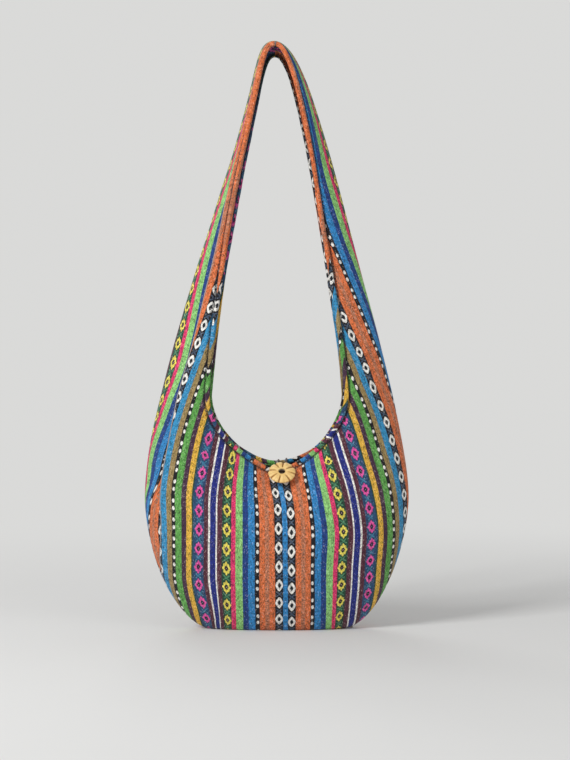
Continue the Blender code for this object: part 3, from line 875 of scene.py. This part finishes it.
class Value:
    """A number in a material's nodes, so that a pattern can be written as a sum."""

    def __init__(self, tree, socket):
        self.tree, self.socket = tree, socket

    def math(self, operation, *others):
        node = new_node(self.tree, "Math", dict(enumerate((self, *others))))
        node.operation = operation
        return Value(self.tree, node.outputs[0])

    __add__ = partialmethod(math, "ADD")
    __sub__ = partialmethod(math, "SUBTRACT")
    __mul__ = partialmethod(math, "MULTIPLY")
    __truediv__ = partialmethod(math, "DIVIDE")
    __abs__ = partialmethod(math, "ABSOLUTE")
    power = partialmethod(math, "POWER")
    below = partialmethod(math, "LESS_THAN")
    above = partialmethod(math, "GREATER_THAN")

    def wrapped(self, period):
        """This number within one period, from 0, for negative numbers too."""
        return self.math("WRAP", period, 0.0)

    def stepped(self, size):
        """This number in whole threads."""
        return (self / size).math("FLOOR") * size + 0.5 * size

    def wave(self, length):
        return (self * (2 * pi / length)).math("SINE")

    def peak(self, place, half_width):
        """1 at this place, falling to 0 this far from it."""
        off = abs(self - place) / half_width
        return (off * -1 + 1.0).math("MAXIMUM", 0.0)

    def capped(self):
        return self.math("MINIMUM", 1.0)


def linear(red, green, blue):
    """A colour given as it looks on a screen, 0 to 255."""
    found = []
    for part in (red, green, blue):
        c = part / 255
        found.append(c / 12.92 if c <= 0.04045 else ((c + 0.055) / 1.055) ** 2.4)
    return (*found, 1.0)


BLACK = linear(26, 26, 30)
WHITE = linear(232, 230, 224)
ORANGE = linear(222, 112, 58)
GREY_TAN = linear(150, 124, 106)
BLUE = linear(50, 130, 190)
NAVY = linear(36, 66, 130)
LIGHT_GREEN = linear(138, 196, 116)
PINK = linear(218, 56, 108)
DARK_GREEN = linear(38, 74, 58)
YELLOW_GREEN = linear(228, 212, 92)
MAROON = linear(88, 46, 60)
ROYAL = linear(36, 46, 126)
SLATE = linear(44, 76, 112)
PINK_RING = linear(222, 84, 160)
YELLOW = linear(218, 172, 66)
PLUM = linear(70, 46, 66)
GREEN = linear(92, 158, 76)
TAN = linear(150, 128, 82)
TEAL = linear(54, 138, 184)
BOTTLE = linear(74, 132, 96)
VIOLET = linear(120, 92, 150)

# Stripes of the cloth from its centre line outward: width in metres and ground colour
STRIPES = (
    (0.0031, BLUE), (0.0099, BLACK), (0.0070, ORANGE), (0.0056, GREY_TAN), (0.0068, ORANGE),
    (0.0057, BLACK), (0.0082, BLUE), (0.0074, NAVY), (0.0088, LIGHT_GREEN), (0.0059, PINK),
    (0.0124, DARK_GREEN), (0.0062, MAROON), (0.0022, WHITE), (0.0078, ROYAL), (0.0022, WHITE),
    (0.0060, MAROON), (0.0144, SLATE), (0.0020, DARK_GREEN), (0.0072, YELLOW), (0.0064, PLUM),
    (0.0082, GREEN), (0.0055, BLACK), (0.0072, TAN), (0.0085, TEAL),
)
FIRST_WIDTH = STRIPES[0][0]
ALL_WIDTHS = sum(width for width, _ in STRIPES)
REPEAT = ALL_WIDTHS - FIRST_WIDTH

# Motif chains: middle of the stripe, phase, what is added to it right of the bag's middle and
# taken off left of it, half width, half height, and how deep the outline is notched. Then for the
# rings the colours of the ring, of its heart, and of the cross between two rings.
REPEAT_UP = 0.0243
RING_CHAINS = (
    ((0.00815, -0.0025, 0.0025, 0.0050, 0.0081, 0.0), WHITE, BLACK, linear(70, 84, 104)),
    ((0.07460, 0.0035, 0.0008, 0.0054, 0.0082, 0.13), YELLOW_GREEN, linear(168, 138, 130), BOTTLE),
    ((0.11240, 0.0084, -0.0050, 0.0052, 0.0081, 0.13), PINK_RING, VIOLET, linear(62, 118, 150)),
)
DOT_CHAINS = ((0.03525, -0.0020, 0.0020, 0.0018, 0.0027, 0.0), (0.14615, 0.0110, 0.0, 0.0018, 0.0026, 0.0))
LEFT_OUTER_PHASE = 0.0070
DOT_SPREAD = 0.0048
RING_GROUND = linear(30, 36, 42)

# Threads, the slanting pattern in the orange stripes, the stitching along the rim, and the painted shade
# in the creases beside it
WARP = 0.00085
WEFT = 0.00105
WAVER = 0.0011
EDGES = [sum(width for width, _ in STRIPES[:count]) for count in range(len(STRIPES))]
ORANGE_FROM, TAN_FROM, TAN_TO, ORANGE_TO = EDGES[2:6]
TWILL = 0.0021
ZIGZAG = 0.0052
ZIGZAG_FROM = 0.0227
STITCHED_AT = 0.0056
STITCH_HALF_WIDTH = 0.00045
STITCH_PITCH = 0.0040
STITCH_GAP = 0.0011
DITCH_AT = 0.0038
CREASE_HALF_WIDTH = 0.0022

BACKDROP = (0.70, 0.70, 0.69, 1)
LENS = 80.5
CAMERA_SPOT = (0.0104, -2.21, 0.322)
LAMPS_AIM = (0, 0, 0.3)


def new_material(name):
    mat = bpy.data.materials.new(name)
    mat.use_nodes = True
    return mat, mat.node_tree, mat.node_tree.nodes["Principled BSDF"]


def mixed(tree, mask, under, over):
    """The colour over laid on the colour under where the mask is 1."""
    node = tree.nodes.new("ShaderNodeMix")
    node.data_type = "RGBA"
    set_inputs(tree, node, {"Factor": mask, "A": under, "B": over})
    return node.outputs["Result"]


def noise_value(tree, coordinates, scale, detail=2.0):
    inputs = {"Vector": coordinates, "Scale": scale, "Detail": detail}
    return Value(tree, new_node(tree, "TexNoise", inputs).outputs["Fac"])


def vector_of(tree, x, y, z=0.0):
    return new_node(tree, "CombineXYZ", {0: x, 1: y, 2: z}).outputs[0]


def thread_value(tree, x, y, z=0.0):
    """A number from 0 to 1 that differs from thread to thread."""
    spot = vector_of(tree, x * 1e3, y * 1e3, z)
    return Value(tree, new_node(tree, "TexWhiteNoise", {"Vector": spot}).outputs["Value"])


def bump(tree, height, strength, distance):
    inputs = {"Height": height, "Strength": strength, "Distance": distance}
    return new_node(tree, "Bump", inputs).outputs[0]


def mix_surfaces(tree, share, under, over, output):
    """Sends one shader, with this share of another over it, to the output."""
    mix = new_node(tree, "MixShader", {0: share, 1: under.outputs[0], 2: over.outputs[0]})
    set_inputs(tree, tree.nodes[output], {"Surface": mix.outputs[0]})


def map_values(tree, name):
    """The two numbers of a mesh's map."""
    uv = tree.nodes.new("ShaderNodeUVMap")
    uv.uv_map = name
    parts = new_node(tree, "SeparateXYZ", {0: uv.outputs[0]})
    return Value(tree, parts.outputs["X"]), Value(tree, parts.outputs["Y"])


def stripe_colour(tree, across):
    """Ground colour of the stripe at this distance from the centre line."""
    ramp = new_node(tree, "ValToRGB", {0: across / ALL_WIDTHS})
    ramp.color_ramp.interpolation = "CONSTANT"
    stops = ramp.color_ramp.elements
    place = 0.0
    for number, (width, colour) in enumerate(STRIPES):
        stop = stops[number] if number < 2 else stops.new(place / ALL_WIDTHS)
        stop.position = place / ALL_WIDTHS
        stop.color = colour
        place += width
    return ramp.outputs["Color"]


def ring_shape(across, up, hand, chain, roundness=1.4):
    """(distance from a ring's middle, 1 on its outline; whether a point is on the cross between two)."""
    middle, phase, lag, half_width, half_height, notch = chain
    x = abs(across.stepped(0.5 * WARP) - middle) / half_width
    cycle = (up + hand * lag + phase).stepped(0.5 * WEFT).wrapped(REPEAT_UP)
    y = abs(cycle - REPEAT_UP / 2) / half_height
    distance = x.power(roundness) + y.power(roundness)
    if notch:
        knobs = (x.math("ARCTAN2", y) * 8.0).math("COSINE")
        distance = distance - knobs * notch * distance.above(0.35)
    gap_y = abs(abs(cycle - REPEAT_UP / 2) - REPEAT_UP / 2) / half_height
    crossing = abs(x - gap_y * 1.7)
    near_gap = x.below(0.8) * gap_y.below(0.42)
    return distance, crossing.below(0.26) * near_gap


def dot_shape(across, up, hand, chain):
    middle, phase, lag, half_width, half_height, _ = chain
    x = (across - middle) / half_width
    cycle = (up + hand * lag + phase).wrapped(REPEAT_UP)
    y = (abs(cycle - REPEAT_UP / 2) - DOT_SPREAD) / half_height
    return (x.power(2.0) + y.power(2.0)).below(1.0)


def lay_motifs(tree, colour, across, rows, hand):
    """The stripes' colour with rings and dots on it, and 1 where their threads stand up."""
    raised = None
    for chain, ring, heart, crossing in RING_CHAINS:
        shape, crossed = ring_shape(across, rows, hand, chain)
        band = shape.below(1.0) * shape.above(0.32)
        colour = mixed(tree, crossed, colour, crossing)
        colour = mixed(tree, shape.below(0.32), colour, RING_GROUND)
        colour = mixed(tree, shape.below(0.055), colour, heart)
        colour = mixed(tree, band, colour, ring)
        raised = band if raised is None else raised + band
    for chain in DOT_CHAINS:
        dots = dot_shape(across, rows, hand, chain)
        colour = mixed(tree, dots, colour, WHITE)
        raised = raised + dots
    return colour, raised


def woven_material(name):
    """Yarn-dyed ribbed cotton: stripes, ring and dot chains, thread by thread unevenness, and painted
    shade on the ribs and in the creases along the rim.
    """
    mat, tree, shader = new_material(name)
    place, up = map_values(tree, "cloth")
    waver = noise_value(tree, vector_of(tree, place * 6.0, up * 22.0), 1.0) - 0.5
    distance = abs(place + waver * WAVER)
    hand = place.math("SIGN")
    rows = up + distance.above(ALL_WIDTHS) * hand.below(0.0) * LEFT_OUTER_PHASE
    across = (distance - FIRST_WIDTH).math("MODULO", REPEAT) + FIRST_WIDTH
    speck = thread_value(tree, across.stepped(WARP), up.stepped(WEFT))
    clump = thread_value(tree, across.stepped(2 * WARP), (up + across).stepped(2.5 * WEFT))
    slub = thread_value(tree, across.stepped(1.6 * WARP), (up - across * 0.7).stepped(1.9 * WEFT), 7.0)

    colour = stripe_colour(tree, across)
    twill = (up + abs((across - ZIGZAG_FROM).wrapped(ZIGZAG) - ZIGZAG / 2)).wave(TWILL)
    in_orange = (across - ORANGE_FROM).above(0.0) * (across - ORANGE_TO).below(0.0)
    in_middle = (across - TAN_FROM).above(0.0) * (across - TAN_TO).below(0.0)
    colour = mixed(tree, in_middle * (twill + speck - 0.3).above(0.1) * 0.9, colour, ORANGE)
    colour = mixed(tree, in_orange * (twill * -1 + speck * 1.4).above(1.25) * 0.45, colour, GREY_TAN)
    colour, raised = lay_motifs(tree, colour, across, rows, hand)

    from_edge, along_edge = map_values(tree, "edge")
    stitch = abs(from_edge - STITCHED_AT).below(STITCH_HALF_WIDTH)
    stitch = stitch * along_edge.wrapped(STITCH_PITCH).above(STITCH_GAP)
    pucker_and_shade = from_edge.peak(STITCHED_AT, CREASE_HALF_WIDTH)
    ditch_shade = from_edge.peak(DITCH_AT, CREASE_HALF_WIDTH)

    rib = up.wave(WEFT) * across.wave(2 * WARP)
    wide = noise_value(tree, vector_of(tree, place * 60.0, up * 60.0), 1.0, 3.0) - 0.5
    streak = noise_value(tree, vector_of(tree, across * 1500.0, up * 30.0), 1.0) - 0.5
    # The rib term paints the ribs' light and shade into the colour, on top of the yarns' own unevenness
    shade = speck * 0.50 + clump * 0.46 + slub * 0.36 + rib * 0.14 + wide * 0.26 + streak * 0.26 + 0.38
    # Painted shade: darker in the crease beside the rolled edge, and a little darker in the pucker along
    # the stitching
    shade = (shade - pucker_and_shade * 0.16) * (ditch_shade * -0.86 + 1.0)
    brightness = new_node(tree, "HueSaturation", {"Color": colour, "Value": shade})
    dark_yarn = (speck + slub).below(0.46) * (raised * -1 + 1.0) * 0.55
    pale_yarn = (speck + clump).above(1.66) * 0.24
    woven = mixed(tree, dark_yarn, brightness.outputs[0], linear(34, 30, 36))
    woven = mixed(tree, pale_yarn, woven, linear(226, 216, 204))
    height = rib * 0.35 + speck * 0.30 + raised * 0.55 + twill * in_orange * 0.25
    set_inputs(tree, shader, {
        "Base Color": mixed(tree, stitch, woven, linear(44, 38, 46)),
        "Normal": bump(tree, height - pucker_and_shade * 1.1 + stitch * 0.7, 0.75, 0.00045),
        "Roughness": speck * 0.10 + 0.80,
        "Sheen Weight": 0.12,
        "Sheen Roughness": 0.5,
        "Specular IOR Level": 0.25,
    })
    return mat


def cord_material(name, colour, dark, pitch):
    """Twisted thread: slanting strands, darker between them."""
    mat, tree, shader = new_material(name)
    around, up = map_values(tree, "cloth")
    strand = (up + around * 0.9).wave(pitch) * 0.5 + 0.5
    fuzz = noise_value(tree, vector_of(tree, around * 2500.0, up * 900.0), 1.0)
    mask = (strand * 0.8 + fuzz * 0.5 - 0.2).capped().math("MAXIMUM", 0.0)
    set_inputs(tree, shader, {
        "Base Color": mixed(tree, mask, dark, colour),
        "Normal": bump(tree, strand + fuzz * 0.4, 0.6, 0.0003),
        "Roughness": fuzz * 0.2 + 0.7,
        "Specular IOR Level": 0.2,
    })
    return mat


def wood_material(name):
    """Pale carved wood: fine grain, faint satin polish on the crowns, and painted shade, brown in the cuts
    and near black in the dish and holes.
    """
    mat, tree, shader = new_material(name)
    cut, dish = map_values(tree, "carving")
    place = tree.nodes.new("ShaderNodeTexCoord").outputs["Object"]
    squeeze = new_node(tree, "Mapping", {"Vector": place, "Scale": (260, 1500, 700)})
    grain = noise_value(tree, squeeze.outputs[0], 1.0, 4.0)
    blotch = noise_value(tree, place, 190.0, 2.0)
    pale, deep = linear(252, 224, 158), linear(232, 184, 104)
    colour = mixed(tree, (grain * 1.5 - 0.35 + blotch * 0.3).capped(), pale, deep)
    # Painted shade: brown in the cuts, near black in the dish and thread holes
    colour = mixed(tree, (cut * 0.95 + grain * cut * 0.3).capped(), colour, linear(158, 104, 40))
    set_inputs(tree, shader, {
        "Base Color": mixed(tree, (dish * 1.15).capped(), colour, linear(38, 22, 12)),
        "Normal": bump(tree, grain, 0.35, 0.0002),
        "Roughness": grain * 0.22 + cut * 0.2 + 0.36,
    })
    return mat


def seen_directly(tree):
    """1 where the camera, a reflection or a clear surface shows the background, else 0."""
    path = tree.nodes.new("ShaderNodeLightPath")
    direct = Value(tree, path.outputs["Is Camera Ray"]) + Value(tree, path.outputs["Is Glossy Ray"])
    return (direct + Value(tree, path.outputs["Is Transmission Ray"])).capped()


def floor_material():
    """Pale and matt near the bag, running out into the backdrop's own tone."""
    mat, tree, shader = new_material("pale floor")
    place = tree.nodes.new("ShaderNodeTexCoord").outputs["Object"]
    mottle = noise_value(tree, place, 3.0, 4.0)
    colour = mixed(tree, mottle, (0.76, 0.76, 0.75, 1), (0.79, 0.79, 0.78, 1))
    set_inputs(tree, shader, {"Base Color": colour, "Roughness": 0.9, "Specular IOR Level": 0.1})
    far = new_node(tree, "VectorMath", {0: place})
    far.operation = "LENGTH"
    away = new_node(tree, "MapRange", {"Value": far.outputs["Value"], "From Min": 0.25, "From Max": 1.7})
    away.interpolation_type = "SMOOTHSTEP"
    glow = new_node(tree, "Emission", {"Color": BACKDROP})
    share = Value(tree, away.outputs["Result"]) * seen_directly(tree)
    mix_surfaces(tree, share, shader, glow, "Material Output")
    return mat


def studio():
    """A pale floor, even light from all round, and soft lamps at the upper left, right and back."""
    mesh = bpy.data.meshes.new("floor")
    reach = 30.0
    corners = [(x * reach, y * reach, 0) for x, y in ((-1, -1), (1, -1), (1, 1), (-1, 1))]
    mesh.from_pydata(corners, [], [(0, 1, 2, 3)])
    floor = add_object("floor", mesh)
    floor.location.z = -0.0002
    mesh.materials.append(floor_material())

    world = bpy.data.worlds.new("studio")
    bpy.context.scene.world = world
    world.use_nodes = True
    tree = world.node_tree
    light = tree.nodes["Background"]
    set_inputs(tree, light, {"Color": (1.0, 1.0, 1.0, 1), "Strength": 0.40})
    seen = new_node(tree, "Background", {"Color": BACKDROP})
    mix_surfaces(tree, seen_directly(tree), light, seen, "World Output")

    for name, spot, power, size in (
        ("key", (-1.6, -1.7, 1.7), 46.0, 0.9),
        ("fill", (1.9, -1.5, 0.9), 9.0, 1.6),
        ("back", (-0.6, 2.2, 1.6), 14.0, 1.4),
    ):
        lamp = bpy.data.lights.new(name, "AREA")
        lamp.energy = power
        lamp.size = size
        obj = add_object(name, lamp)
        obj.location = spot
        aim = Vector(LAMPS_AIM) - Vector(spot)
        obj.rotation_euler = aim.to_track_quat("-Z", "Y").to_euler()


def camera():
    """Level, in front of the bag, at the photograph's distance."""
    data = bpy.data.cameras.new("camera")
    data.lens = LENS
    data.sensor_width = 36
    obj = add_object("camera", data)
    obj.location = CAMERA_SPOT
    obj.rotation_euler = (pi / 2, 0, 0)
    bpy.context.scene.camera = obj


def build():
    bpy.context.scene.view_settings.view_transform = "Standard"
    camera()
    studio()
    cloth = woven_material("woven stripes")
    pale_cord = cord_material("pale cord", linear(206, 198, 188), linear(120, 104, 110), 0.0018)
    dark_thread = cord_material("dark thread", linear(58, 40, 30), linear(18, 12, 10), 0.0007)
    loop_cord = cord_material("loop cord", linear(132, 120, 112), linear(74, 64, 62), 0.0012)
    pieces = (
        (panel("front_cloth", FRONT, cloth), "front_panel", "woven_stripes_front"),
        (panel("back_cloth", BACK, cloth), "back_panel", "woven_stripes_back"),
        (rolled_edge("front_rim", FRONT, cloth), "front_rolled_edge", "rolled_edge_front"),
        (rolled_edge("back_rim", BACK, cloth), "back_rolled_edge", "rolled_edge_back"),
        (seam_cord("side_seam", pale_cord), "side_seam_cord", "pale_cord"),
        (carved_button("carved_button", wood_material("carved wood")), "button", "pale_wood"),
        (button_thread("sewn_thread", dark_thread), "button_thread", "dark_thread"),
        (closing_loop("loop", loop_cord), "closing_loop", "loop_cord"),
    )
    for piece, node, slot in pieces:
        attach(piece, "root")
        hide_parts(node)


build()
